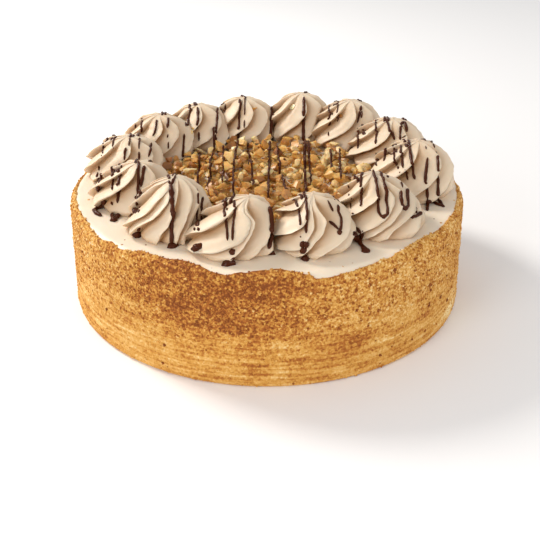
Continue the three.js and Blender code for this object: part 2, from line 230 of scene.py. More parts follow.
# Dry cake crumbs, matt and speckled, each about 1.3 mm across, with level streaks 2 mm high low down.
crumb_coat, tree, shader = new_material("golden cake crumbs pressed into cream")
where = add(tree, "ShaderNodeTexCoord").outputs["Object"]
tone = add(tree, "ShaderNodeAttribute", {"attribute_name": "tone"}).outputs["Fac"]
grains = add(tree, "ShaderNodeTexNoise", Vector=where, Scale=800.0, Detail=3.0, Roughness=0.65)
crumbs_seen = add(tree, "ShaderNodeTexVoronoi", Vector=where, Scale=780.0, Randomness=1.0)
each_crumb = add(tree, "ShaderNodeSeparateColor", Color=crumbs_seen.outputs["Color"]).outputs["Red"]
flat = add(tree, "ShaderNodeMapping", Vector=where, Scale=(34.0, 34.0, 560.0))
streaks = add(tree, "ShaderNodeTexNoise", Vector=flat.outputs["Vector"], Scale=1.0, Detail=3.0)
height = add(tree, "ShaderNodeSeparateXYZ", Vector=where).outputs["Z"]
low_down = add(tree, "ShaderNodeMapRange", Value=height, From_Min=0.044, From_Max=0.018, To_Max=0.22)
streak = add(tree, "ShaderNodeMapRange", Value=streaks.outputs["Fac"], From_Min=0.35, From_Max=0.75,
             To_Min=-0.7, To_Max=1.3)
streaky = add(tree, "ShaderNodeMath", {"operation": "MULTIPLY"}, _0=low_down.outputs["Result"],
              _1=streak.outputs["Result"])
grainy = add(tree, "ShaderNodeMapRange", Value=grains.outputs["Fac"], From_Min=0.3, From_Max=0.7,
             To_Min=-0.28, To_Max=0.28)
each = add(tree, "ShaderNodeMapRange", Value=each_crumb, To_Min=-0.24, To_Max=0.24)
speckle = add(tree, "ShaderNodeMath", {"operation": "ADD"}, _0=grainy.outputs["Result"],
              _1=each.outputs["Result"])
calmer = add(tree, "ShaderNodeMapRange", Value=height, From_Min=0.012, From_Max=0.044,
             To_Min=0.5, To_Max=1.0)
calm_speckle = add(tree, "ShaderNodeMath", {"operation": "MULTIPLY"}, _0=speckle.outputs["Value"],
                   _1=calmer.outputs["Result"])
streaked = add(tree, "ShaderNodeMath", {"operation": "ADD"}, _0=tone, _1=streaky.outputs["Value"])
shade = add(tree, "ShaderNodeMath", {"operation": "ADD"}, _0=streaked.outputs["Value"],
            _1=calm_speckle.outputs["Value"])
ramp = add(tree, "ShaderNodeValToRGB", Fac=shade.outputs["Value"])
ramp.color_ramp.elements[0].color = linear("#82451a")
ramp.color_ramp.elements[1].color = linear("#f4d79c")
for place_on_ramp, colour in ((0.25, "#ae6728"), (0.5, "#d29844"), (0.75, "#e5b467")):
    ramp.color_ramp.elements.new(place_on_ramp).color = linear(colour)
tree.links.new(ramp.outputs["Color"], shader.inputs["Base Color"])
shader.inputs["Roughness"].default_value = 0.85
shader.inputs["Specular IOR Level"].default_value = 0.3
pores = add(tree, "ShaderNodeBump", Height=grains.outputs["Fac"], Strength=0.7, Distance=0.0006)
tree.links.new(pores.outputs["Normal"], shader.inputs["Normal"])

coat_skin = wrapped_skin(880, 92, coat_point)
coat = put_in_place("crumb_coat", coat_skin, crumb_coat, ["cake_body"])

# Loose crumbs stand on the coat, thickest along its edge on the cream, and a few fell further in.
CRUMB_COUNT = 21000
LARGEST_REACH = 117.95 * MM
ON_THE_CREAM = 68
# The few burnt ones that stand out: degrees round from the front, length up the skin and size.
BURNT_CRUMBS = [
    (33.2, 55.2, 1.7), (40.8, 50.1, 1.4), (48, 35.7, 1.9), (48.8, 31.8, 1.3), (47.8, 23.7, 1.6),
    (22.2, 49.8, 1.2), (28.8, 35.1, 1.3), (54.5, 22.2, 1.3), (30, 7.8, 1.2), (-26.5, 16.2, 1.3),
    (-27.2, 4.8, 1.2), (22.5, 38.7, 1.2), (25.8, 28.2, 1.0), (10, 32.4, 1.1), (59.5, 15.3, 1.3),
    (47, 8.7, 1.2), (-37, 71.7, 0.7), (60.5, 69.9, 0.6), (-55.2, 89.7, 0.5), (-43.8, 68.4, 0.6),
    (17.2, 69.9, 0.5), (124, 30, 1.5), (-141, 44, 1.6), (171, 21, 1.4),
]


def copies_of(template, tones):
    """Doubles a small form until there is one copy for each tone, which the material reads."""
    one = bpy.data.meshes.new("one")
    template.to_mesh(one)
    template.clear()
    template.from_mesh(one)
    bpy.data.meshes.remove(one)
    layer = template.verts.layers.float.new("tone")
    sizes, count = (len(template.verts), len(template.edges), len(template.faces)), len(tones)
    made = 1
    while made < count:
        more = min(made, count - made)
        groups = (template.verts, template.edges, template.faces)
        part = [item for group, size in zip(groups, sizes) for item in list(group)[:more * size]]
        bmesh.ops.duplicate(template, geom=part)
        made += more
    corners = list(template.verts)
    groups = [corners[i * sizes[0]:(i + 1) * sizes[0]] for i in range(count)]
    for group, tone in zip(groups, tones):
        for vert in group:
            vert[layer] = tone
    return groups


dice = random.Random(3)
spots = []
while len(spots) < CRUMB_COUNT:
    angle = dice.uniform(-math.pi, math.pi)
    length = dice.uniform(-0.5, length_at(98))
    edge = crumb_edge(angle)
    beyond = length - edge
    low_down = 1 - between(12, 40, length)
    if beyond < -4:
        kept = 1 - 0.55 * low_down
    elif beyond < 0.3:
        kept = 1
    else:
        kept = 0.4 * math.exp(-beyond / 0.45) + 0.0015
    if dice.random() < kept:
        place, out = coat_surface(angle, length, edge)
        radius, height, _ = outer_section(length)
        if beyond > 0.8:
            place = on_circle(angle, radius, height)
        size = min(dice.lognormvariate(-0.62, 0.33), 1.25) * (1 - 0.2 * low_down)
        browned = toasting(angle, height)
        tone = 0.61 - 0.58 * browned + dice.gauss(0, 0.16 - 0.08 * low_down)
        if dice.random() < 0.006:
            tone, size = dice.uniform(-0.1, 0.1), size * 1.3
        spots.append((place, angle, out, size, tone))
for degrees, length, size in BURNT_CRUMBS:
    angle = math.radians(degrees)
    place, out = coat_surface(angle, length, crumb_edge(angle))
    if length > ON_THE_CREAM:
        radius, height, _ = outer_section(length)
        place = on_circle(angle, radius, height)
    spots.append((place, angle, out, size, dice.uniform(-0.15, 0.05)))
crumbs = bmesh.new()
bmesh.ops.create_uvsphere(crumbs, u_segments=4, v_segments=2, radius=1.0)
groups = copies_of(crumbs, [tone for *_, tone in spots])
for group, (place, angle, out, size, _) in zip(groups, spots):
    outward = Vector((out[0] * math.sin(angle), -out[0] * math.cos(angle), out[1])).normalized()
    spin = dice.uniform(0, 6.28)
    tumbled = Matrix.Rotation(spin, 3, Vector((dice.gauss(0, 1), dice.gauss(0, 1), 1)).normalized())
    for vert in group:
        corner = tumbled @ (vert.co * dice.uniform(0.7, 1.25))
        corner -= outward * corner.dot(outward) * 0.4
        vert.co = place + (corner * size + outward * size * 0.1) * MM
        reach = math.hypot(vert.co.x, vert.co.y)
        if reach > LARGEST_REACH:
            vert.co.xy *= LARGEST_REACH / reach
        vert.co.z = max(vert.co.z, 0)
put_in_place("loose_crumbs", crumbs, crumb_coat, sharp=20)


# ---- The caramel cream top ----
# Whipped cream with caramel, spread flat with a palette knife and rounded off at the shoulder,
# where the crumbs begin. The knife left it a little uneven.
ICING_FLAT_RADIUS = 104
# The parts of its skin, of 1 in all: the base and the rounded edge. The flat top is the rest.
ICING_BASE_END, ICING_ROUND_END = 0.04, 0.4


def icing_point(around, up):
    angle = 2 * math.pi * around
    if up < ICING_BASE_END:
        return on_circle(angle, 110 * up / ICING_BASE_END, 55.4), 0
    foot = SIDE_LENGTH - 2
    if up < ICING_ROUND_END:
        part = (up - ICING_BASE_END) / (ICING_ROUND_END - ICING_BASE_END)
        length = foot + (length_at(ICING_FLAT_RADIUS) - foot) * part
    else:
        length = length_at(ICING_FLAT_RADIUS * (1 - up) / (1 - ICING_ROUND_END))
    radius, height, out = outer_section(length)
    spot = on_circle(angle, radius, 0) / MM
    uneven = 0.35 * noise.noise(spot * 0.04) + 0.12 * noise.noise(spot * 0.17)
    inset = 0.4 - uneven * between(20, 60, radius)
    return on_circle(angle, max(radius - out[0] * inset, 0), height + 0.55 * out[1] - out[1] * inset), 0


def cream(name, light, cloud_and_crease_shade, bubble_depth):
    """Whipped cream: soft, faintly cloudy, with painted shade in its creases where the tone attribute asks
    for it, full of bubbles too small to count.
    """
    material, tree, shader = new_material(name)
    where = add(tree, "ShaderNodeTexCoord").outputs["Object"]
    clouds = add(tree, "ShaderNodeTexNoise", Vector=where, Scale=60.0, Detail=3.0)
    # Painted shade: the tone attribute darkens the cream towards the deep colour in the swirls' creases; the
    # clouds add a random tone.
    painted_crease_shade = add(tree, "ShaderNodeAttribute", {"attribute_name": "tone"}).outputs["Fac"]
    cloudy = add(tree, "ShaderNodeMapRange", Value=clouds.outputs["Fac"], To_Max=0.35)
    share = add(tree, "ShaderNodeMath", {"operation": "ADD"}, _0=painted_crease_shade, _1=cloudy.outputs["Result"])
    tint = add(tree, "ShaderNodeMix", {"data_type": "RGBA"}, _0=share.outputs["Value"],
               _6=linear(light), _7=linear(cloud_and_crease_shade))
    tree.links.new(tint.outputs[2], shader.inputs["Base Color"])
    bubbles = add(tree, "ShaderNodeTexNoise", Vector=where, Scale=900.0, Detail=2.0)
    softness = add(tree, "ShaderNodeBump", Height=bubbles.outputs["Fac"], Strength=0.15,
                   Distance=bubble_depth)
    tree.links.new(softness.outputs["Normal"], shader.inputs["Normal"])
    shader.inputs["Roughness"].default_value = 0.5
    shader.inputs["Subsurface Weight"].default_value = 0.2
    shader.inputs["Subsurface Radius"].default_value = (1.0, 0.65, 0.4)
    shader.inputs["Subsurface Scale"].default_value = 0.0015
    return material


smooth_cream = cream("smoothed caramel cream", "#f3e3cd", "#e2caab", 0.0003)
icing_skin = wrapped_skin(360, 60, icing_point)
icing = put_in_place("cream_top", icing_skin, smooth_cream, ["icing_top"])


# ---- The piped swirls ----
# Thirteen rosettes of the same cream, each piped in one go from a star tip: the ribs run round and
# up from the foot to a soft peak, with deep hollows between sharp crests. They press against their
# neighbours where they meet. Each row below holds the angle and radius of the foot's centre, the
# swirl's radius and height, the lean of its peak, how full its dome is and how high the tip pulls up.
CREAM_TOP = 63.3
SWIRLS = [
    (-13.5, 81, 24, 24.5, 10, 2, 1.9, 1.05),
    (16.5, 79, 23.5, 25, 0.5, 1, 2.2, 1.05),
    (46, 81, 25, 27, -3, 4, 2.0, 1.11),
    (83, 83, 25.5, 28, 4, 3, 2.8, 1.04),
    (115, 83, 25, 26, 3, 3, 2.9, 1.04),
    (143, 85, 24, 28, 4, 2, 3.2, 1.04),
    (165, 85, 23.5, 28.5, 1, 2, 3.0, 1.02),
    (-169, 82, 23, 26, 0, 2, 3.4, 1.03),
    (-146, 82, 22.5, 25.5, 1, 1, 3.4, 1.03),
    (-124, 84, 23.5, 25.5, 1, 1, 3.4, 1.03),
    (-99, 87, 24.5, 24, 3, -2, 3.2, 1.03),
    (-71, 81, 24, 23.5, 6, -2, 2.2, 1.05),
    (-40, 80, 24, 27, 4, 4, 2.0, 1.06),
]
# The crests of the ribs of the four swirls nearest the viewer: where each one stands at every eighth
# of the climb from the foot to the peak, in degrees about the swirl's centre. The others' are drawn
# by lot, with the same turn.
CRESTS = {
    0: [(-170, -160, -148, -134, -118, -110, -104, -98, -90), (-100, -92, -84, -73, -54, -44, -38, -40, -45),
        (-80, -50, -18, 0, 12, 16, 14, -7, -28), (-4, 2, 8, 13, 19, 23, 21, 0, -18),
        (24, 32, 43, 52, 60, 68, 76, 81, 60), (50, 58, 68, 82, 96, 106, 114, 120, 115),
        (85, 95, 108, 122, 133, 142, 150, 158, 162), (122, 132, 145, 158, 168, 178, 188, 198, 208),
        (158, 168, 180, 192, 205, 218, 230, 240, 250)],
    1: [(-150, -145, -138, -128, -115, -98, -72, -46, -55), (-110, -95, -78, -54, -35, -21, -16, -18, -24),
        (-75, -42, -16, -12, -8, -4, -5, -9, -18), (-28, -16, -8, -2, 7, 14, 15, 5, -10),
        (0, 9, 26, 48, 62, 84, 95, 85, 50), (40, 50, 68, 92, 108, 122, 130, 128, 110),
        (88, 98, 112, 128, 142, 154, 162, 168, 165), (130, 142, 155, 168, 180, 192, 202, 210, 215),
        (172, 184, 196, 208, 222, 236, 250, 262, 270)],
    2: [(-95, -82, -68, -53, -37, -22, -7, 0, 2), (-45, -33, -20, -5, 7, 18, 27, 22, 8),
        (-30, -18, -6, 8, 22, 38, 52, 46, 30), (-8, 3, 11, 33, 66, 92, 104, 106, 100),
        (35, 46, 60, 82, 108, 128, 142, 150, 155), (85, 97, 110, 128, 148, 165, 180, 190, 200),
        (135, 147, 160, 176, 192, 208, 222, 235, 245), (188, 200, 212, 225, 240, 252, 262, 270, 280),
        (228, 240, 252, 266, 282, 296, 308, 316, 322)],
    12: [(-125, -118, -108, -98, -88, -80, -74, -70, -45), (-92, -80, -68, -54, -42, -34, -29, -19, -14),
         (-62, -55, -47, -36, -23, -14, -7, -6, -4), (-16, -11, -8, 0, 4, 6, 8, 12, 14),
         (12, 14, 17, 21, 26, 34, 44, 53, 58), (22, 26, 31, 38, 46, 55, 64, 72, 82),
         (50, 56, 64, 74, 84, 92, 100, 108, 114), (84, 92, 102, 112, 120, 128, 136, 144, 150),
         (126, 134, 144, 154, 164, 172, 180, 188, 195), (170, 178, 188, 198, 208, 218, 228, 236, 245),
         (205, 213, 222, 232, 242, 250, 258, 266, 280)],
}
# How much of its turn a rib drawn by lot has made at every eighth of the climb.
TURNED = (0, 0.12, 0.26, 0.44, 0.62, 0.76, 0.88, 0.92, 0.85)
RIB_COLUMNS = 20
# The parts of a swirl's skin, of 1 in all: its base, and where the pulled-up tip begins.
SWIRL_BASE_END, TIP_START = 0.03, 0.93


def along(values, part):
    """A smooth course through evenly spaced values."""
    place = min(max(part, 0), 1) * (len(values) - 1)
    first = min(int(place), len(values) - 2)
    t = place - first
    before, start, end, after = (values[min(max(first + step, 0), len(values) - 1)] for step in (-1, 0, 1, 2))
    return start + 0.5 * t * (end - before + t * (2 * before - 5 * start + 4 * end - after
                                                  + t * (3 * (start - end) + after - before)))


dice = random.Random(17)
# Without a seed, Blender's noise vectors differ at every run.
noise.seed_set(17)
for index in range(len(SWIRLS)):
    if index not in CRESTS:
        ribs = dice.choice((7, 8, 8))
        start, twist = dice.uniform(0, 50), dice.uniform(60, 85)
        CRESTS[index] = []
        for rib in range(ribs):
            foot_angle = start + (rib + dice.uniform(-0.17, 0.17)) * 360 / ribs
            sway = [dice.uniform(-5, 5) for _ in range(3)]
            CRESTS[index].append([foot_angle + twist * part + along(sway, i / 8)
                                  for i, part in enumerate(TURNED)])


def swirl_point(number, around, up):
    angle, ring, radius, height, lean_x, lean_y, full, tip = SWIRLS[number]
    crests = CRESTS[number]
    foot = on_circle(math.radians(angle), ring, CREAM_TOP - 0.5)
    if up < SWIRL_BASE_END:
        spread, climb, rise = up / SWIRL_BASE_END, 0.0, 0.0
    elif up < TIP_START:
        climb = math.sin(math.pi / 2 * (up - SWIRL_BASE_END) / (TIP_START - SWIRL_BASE_END))
        spread, rise = 1.0, climb
    else:
        climb, part = 1.0, (up - TIP_START) / (1 - TIP_START)
        spread, rise = 1 - part, 1 + (tip - 1) * part
    rib = min(int(around * len(crests)), len(crests) - 1)
    part = around * len(crests) - rib
    part = part ** 1.5 * (1 - 0.25 * (1 - part))
    this = math.radians(along(crests[rib], climb))
    once_round = 2 * math.pi if rib == len(crests) - 1 else 0
    after = math.radians(along(crests[(rib + 1) % len(crests)], climb)) + once_round
    outline = (0.045 + 0.955 * (1 - climb ** full) ** 0.62) * (0.9 + 0.1 * min(climb / 0.12, 1))
    feet = [noise.noise(Vector(((rib + step) % len(crests) * 4.1, number * 6.3, 5))) for step in (0, 1)]
    uneven = 0.16 * (feet[0] + (feet[1] - feet[0]) * part) * (1 - climb) ** 2
    spoke = radius * outline * spread * (1 + uneven)
    width = max(spoke * (after - this), 0.01)
    steep = min(0.3, 2.6 / width)
    hollow = between(0, steep, part) if part < steep else ((1 - part) / (1 - steep)) ** 1.35
    own = noise.noise(Vector((number * 3.7, rib * 1.9, 2 * climb)))
    depth = min((0.5 - 0.22 * between(0.65, 1.0, climb)) * width, 6.0 + 1.6 * own)
    depth *= 0.7 + 0.3 * min(climb / 0.25, 1)
    fine = 0.16 * math.sin(6 * math.pi * part + 9 * own) * min(spoke / 8, 1)
    crest = (rib + round(part)) % len(crests)
    ragged = noise.noise(Vector((crest * 5.3, 16 * climb, number * 2.7)))
    fine += (0.55 + 0.6 * ragged) * math.exp(-(min(part, 1 - part) * width / 0.8) ** 2) * min(width / 8, 1)
    turning = this + (after - this) * part + 1.1 * (1 - hollow) ** 2 / max(spoke, 4)
    spot = foot + on_circle(turning, max(spoke - depth * hollow + fine, 0), height * rise)
    spot += Vector((lean_x, lean_y, 0)) * MM * climb ** 1.6
    shift = Vector((7.0 * number, 0, 0))
    soft = noise.noise_vector(spot / MM * 0.12 + shift) * 0.5
    soft += noise.noise_vector(spot / MM * 0.5 + shift) * 0.16
    # Painted shade: the hollows between the crests get the deep colour, standing in for the shade in the
    # creases, less so near the peak.
    painted_crease_shade = 0.92 * hollow ** 1.25 * (1 - 0.6 * between(0.8, 1.0, climb))
    return spot + soft * MM * min(rise * 4, 1) * (1 - between(0.9, 1.0, climb)), painted_crease_shade


def pressed(skin, index):
    """Where two swirls meet, each is flattened against the other."""
    own = SWIRLS[index]
    centre = on_circle(math.radians(own[0]), own[1], 0)
    for step in (1, -1):
        other = SWIRLS[(index + step) % len(SWIRLS)]
        there = on_circle(math.radians(other[0]), other[1], 0)
        towards = (there - centre).normalized()
        reach = (there - centre).length * own[2] / (own[2] + other[2])
        for vert in skin.verts:
            beyond = (vert.co - centre).dot(towards) - reach
            if beyond > 0:
                vert.co -= towards * (beyond - 0.0003 * (1 - math.exp(-beyond / 0.0006)))


# Painted shade: the swirls' cream gets darker colours than the same cream on the top, standing in for the
# shade among the swirls, and its deep colour is painted into their creases.
shaded_swirl_cream = cream("whipped caramel cream", "#eedbc0", "#b88f63", 0.0004)
swirl_pieces = []
for index in range(len(SWIRLS)):
    columns = len(CRESTS[index]) * RIB_COLUMNS
    skin = wrapped_skin(columns, 78, lambda around, up: swirl_point(index, around, up))
    pressed(skin, index)
    node = f"swirl_{index + 1:02d}"
    swirl_pieces.append(put_in_place("piped_" + node, skin, shaded_swirl_cream, [node]))


# ---- The chopped nut bed ----
# Nuts roasted in caramel and chopped by hand, so every piece has glazed amber faces and paler
# broken ones. They lie loose and heaped on the cream inside the ring, with crushed bits and cream
# showing between them, and a few jumped onto the swirls: x, y, half the length and the tone of each.
NUT_BED_RADIUS = 65
GROUND_RADIUS = 56
NUT_COUNT = 740
CRUSHED_COUNT = 1100
STRAY_NUTS = [
    (-9.2, 72.0, 3.2, 0.5), (17.3, 73.6, 3.6, 0.95), (47.8, 57.9, 2.8, 0.3), (-47.6, 48.8, 2.0, 0.6),
    (-47.8, 45.0, 2.4, 0.8), (-58.1, 14.5, 2.6, 0.7), (-53.5, -8.0, 1.8, 0.5), (57.0, -3.0, 2.2, 0.8),
]

# Nuts under a thin caramel glaze: glossy, and mottled with brown skin in spots 3 mm across.
nut_glaze, tree, shader = new_material("caramelised chopped nuts")
tone = add(tree, "ShaderNodeAttribute", {"attribute_name": "tone"}).outputs["Fac"]
where = add(tree, "ShaderNodeTexCoord").outputs["Object"]
grain = add(tree, "ShaderNodeTexNoise", Vector=where, Scale=300.0, Detail=4.0, Roughness=0.6)
ramp = add(tree, "ShaderNodeValToRGB", Fac=tone)
ramp.color_ramp.elements[0].color = linear("#5c3413")
ramp.color_ramp.elements[1].color = linear("#f3e3bd")
for place_on_ramp, colour in ((0.25, "#9a5f26"), (0.5, "#cb9244"), (0.75, "#e3b566"), (0.9, "#ecd099")):
    ramp.color_ramp.elements.new(place_on_ramp).color = linear(colour)
skinned = add(tree, "ShaderNodeMapRange", Value=grain.outputs["Fac"], From_Min=0.5, From_Max=0.68, To_Max=0.5)
mottled = add(tree, "ShaderNodeMix", {"data_type": "RGBA"}, _0=skinned.outputs["Result"],
              _6=ramp.outputs["Color"], _7=linear("#7a4519"))
tree.links.new(mottled.outputs[2], shader.inputs["Base Color"])
shader.inputs["Roughness"].default_value = 0.38
shader.inputs["Subsurface Weight"].default_value = 0.45
shader.inputs["Subsurface Radius"].default_value = (1.0, 0.55, 0.25)
shader.inputs["Subsurface Scale"].default_value = 0.0035
rough = add(tree, "ShaderNodeBump", Height=grain.outputs["Fac"], Strength=0.5, Distance=0.0006)
tree.links.new(rough.outputs["Normal"], shader.inputs["Normal"])

dice = random.Random(11)


def tree_of(piece):
    return BVHTree.FromObject(piece, bpy.context.evaluated_depsgraph_get())


def highest(x, y, trees):
    """The highest point and its direction under a spot, of all the pieces that could carry it."""
    best = None
    for tree in trees:
        point, normal, _, _ = tree.ray_cast(Vector((x, y, 0.2)), Vector((0, 0, -1)))
        if point and (best is None or point.z > best[0].z):
            best = point, normal
    return best


carrying = [tree_of(piece) for piece in [icing, *swirl_pieces]]
golden_angle = math.pi * (3 - math.sqrt(5))
resting = []
for i in range(NUT_COUNT):
    spot = on_circle(i * golden_angle * 1.37, NUT_BED_RADIUS * math.sqrt(((i * 0.618) % 1)), 0)
    spot += Vector((dice.uniform(-2, 2), dice.uniform(-2, 2), 0)) * MM
    half = min(max(dice.lognormvariate(1.24, 0.34), 1.5), 5.2) * MM
    under = highest(spot.x, spot.y, carrying)[0]
    top = under.z + 0.3 * half
    for other, size, _ in resting:
        apart = (other - spot).xy.length / (0.62 * (size + half))
        if apart < 1:
            top = max(top, other.z + 0.62 * size * (1 - apart * apart) + 0.1 * half)
    if under.z < (CREAM_TOP + 4.5) * MM and top < (CREAM_TOP + 7.5) * MM:
        pale = dice.random() < 0.07
        glazed = min(max(dice.gauss(0.62 + 2.0 * spot.x, 0.18), 0.05), 0.86)
        resting.append((Vector((spot.x, spot.y, top)), half, 0.9 if pale else glazed))
for x, y, half, tone in STRAY_NUTS:
    resting.append((highest(x * MM, y * MM, carrying)[0], half * MM, tone))
crushed = []
for _ in range(CRUSHED_COUNT):
    spot = on_circle(dice.uniform(0, 2 * math.pi), (NUT_BED_RADIUS + 1) * math.sqrt(dice.random()), 0)
    under = highest(spot.x, spot.y, carrying)[0]
    if under.z < (CREAM_TOP + 5) * MM:
        lift = Vector((0, 0, dice.uniform(0.3, 2.2) * MM))
        crushed.append((under + lift, dice.uniform(0.7, 1.6) * MM, min(max(dice.gauss(0.58, 0.2), 0), 0.86)))


def chopped(pieces, detail, ways):
    """Lumps with flat broken faces, one for each resting place."""
    lumps = bmesh.new()
    bmesh.ops.create_icosphere(lumps, subdivisions=detail, radius=1.0)
    groups = copies_of(lumps, [tone for *_, tone in pieces])
    for group, (rest, half, _) in zip(groups, pieces):
        shape = Matrix.Diagonal((half, half * dice.uniform(0.55, 0.95), half * dice.uniform(0.4, 0.75), 1))
        spin = Matrix.Rotation(dice.uniform(0, 2 * math.pi), 4, "Z")
        turn = spin @ Matrix.Rotation(dice.uniform(-0.8, 0.8), 4, "X")
        cuts = [(Vector([dice.gauss(0, 1) for _ in range(3)]).normalized(), dice.uniform(0.3, 0.7))
                for _ in range(ways)]
        lump = Vector((dice.random(), dice.random(), dice.random())) * 50
        for vert in group:
            point = vert.co * (1 + 0.5 * noise.noise(vert.co * 1.5 + lump))
            for direction, depth in cuts:
                over = point.dot(direction) - depth
                if over > 0:
                    point = point - direction * over
            vert.co = rest + turn @ (shape @ point)
    return lumps


def ground_point(around, up):
    """The fines that have settled under the pieces, open in places down to the cream."""
    angle = 2 * math.pi * around
    if up < 0.95:
        radius = GROUND_RADIUS * min(up / 0.9, 1)
        spot = on_circle(angle, radius, 0) / MM
        heap = 2.6 * between(-0.25, 0.15, noise.noise(spot * 0.13)) + 0.7 * noise.noise(spot * 0.9)
        height = CREAM_TOP - 1.5 + (heap + 0.6) * (1 - between(44, 55, radius))
    else:
        radius, height = GROUND_RADIUS * (1 - up) / 0.05, CREAM_TOP - 2.5
    point = on_circle(angle, radius, height)
    return point, 0.6 + 0.3 * noise.noise(point / MM * 0.8)


nuts = chopped(resting, 2, 7)
for finer in (wrapped_skin(150, 60, ground_point), chopped(crushed, 1, 2)):
    passing = bpy.data.meshes.new("passing")
    finer.to_mesh(passing)
    finer.free()
    nuts.from_mesh(passing)
    bpy.data.meshes.remove(passing)
nut_piece = put_in_place("chopped_nuts", nuts, nut_glaze, ["nut_bed"], sharp=28)


# ---- The chocolate lines ----
# Dark chocolate sauce from a fine paper cone, drawn back and forth over the whole cake in one
# zigzag. It lies as thin glossy threads that break on steep cream, and it ends in fat drops and
# smears at the turns nearest the viewer.
FRONT_TURNS = [
    (-93.5, -32), (-82, -54), (-66, -72), (-47.3, -84), (-34, -92), (-18, -101), (0.8, -91), (18.5, -96),
    (35, -89), (47.5, -79), (59.5, -75.5), (71.3, -67), (93, -31),
]
BACK_TURNS = [
    (-93, 24), (-80, 47), (-66, 68), (-48, 83), (-30, 92), (-16.5, 96), (3, 98), (25.5, 101), (45, 91.5),
    (62, 88), (76, 69.5), (87, 51.5), (97, 19.5),
]
THICK_LINES = (6, 12)
# The place of the camera that sees the cake as the photo shows it, its lens and the width of its
# sensor, and how far its picture is shifted, as a part of its width.
VIEWPOINT = Vector((0, -0.42967, 0.24478))
LENS, SENSOR = 51.85, 36
SHIFT_X, SHIFT_Y = 0.0057, 0.0059
PHOTO_WIDTH = 540
# Lines and strokes are given as they were read in the photo, 540 pixels wide and high: the
# width of each, then the pixels that it runs through. These are the lines over the nuts, from the
# left to the right, and below them the strokes on the cream.
NUT_LINES = [
    (2.2, (199.2, 150), (200.8, 155), (199.2, 165), (198.3, 175), (197.5, 187)),
    (2.2, (215, 143), (212.5, 155), (210, 166.7), (210, 175), (207.5, 188)),
    (2, (223.3, 149), (223.3, 161.7), (223.3, 171.7), (222.7, 187)),
    (2.2, (238.3, 143), (236.7, 155), (234.2, 165), (233.3, 178.3), (233.6, 194)),
    (2.2, (247.5, 143), (249.2, 156.7), (251.7, 170), (253.3, 184)),
    (2.6, (269.2, 143), (269.2, 165), (268.3, 186.7), (268.7, 203)),
    (2.2, (275.8, 143.3), (278.3, 156.7), (280, 171.7), (282.5, 181.7), (285.8, 195), (289, 197)),
    (2.9, (304.8, 142), (304.7, 156.7), (304.2, 173.3), (305.8, 190), (306, 195)),
    (2.2, (308.3, 145), (309.2, 163.3), (310.8, 176.7), (312.5, 189)),
    (2.4, (330, 151.7), (331.7, 172)),
    (2.2, (339.2, 153.3), (340, 166.7), (340.8, 184)),
]
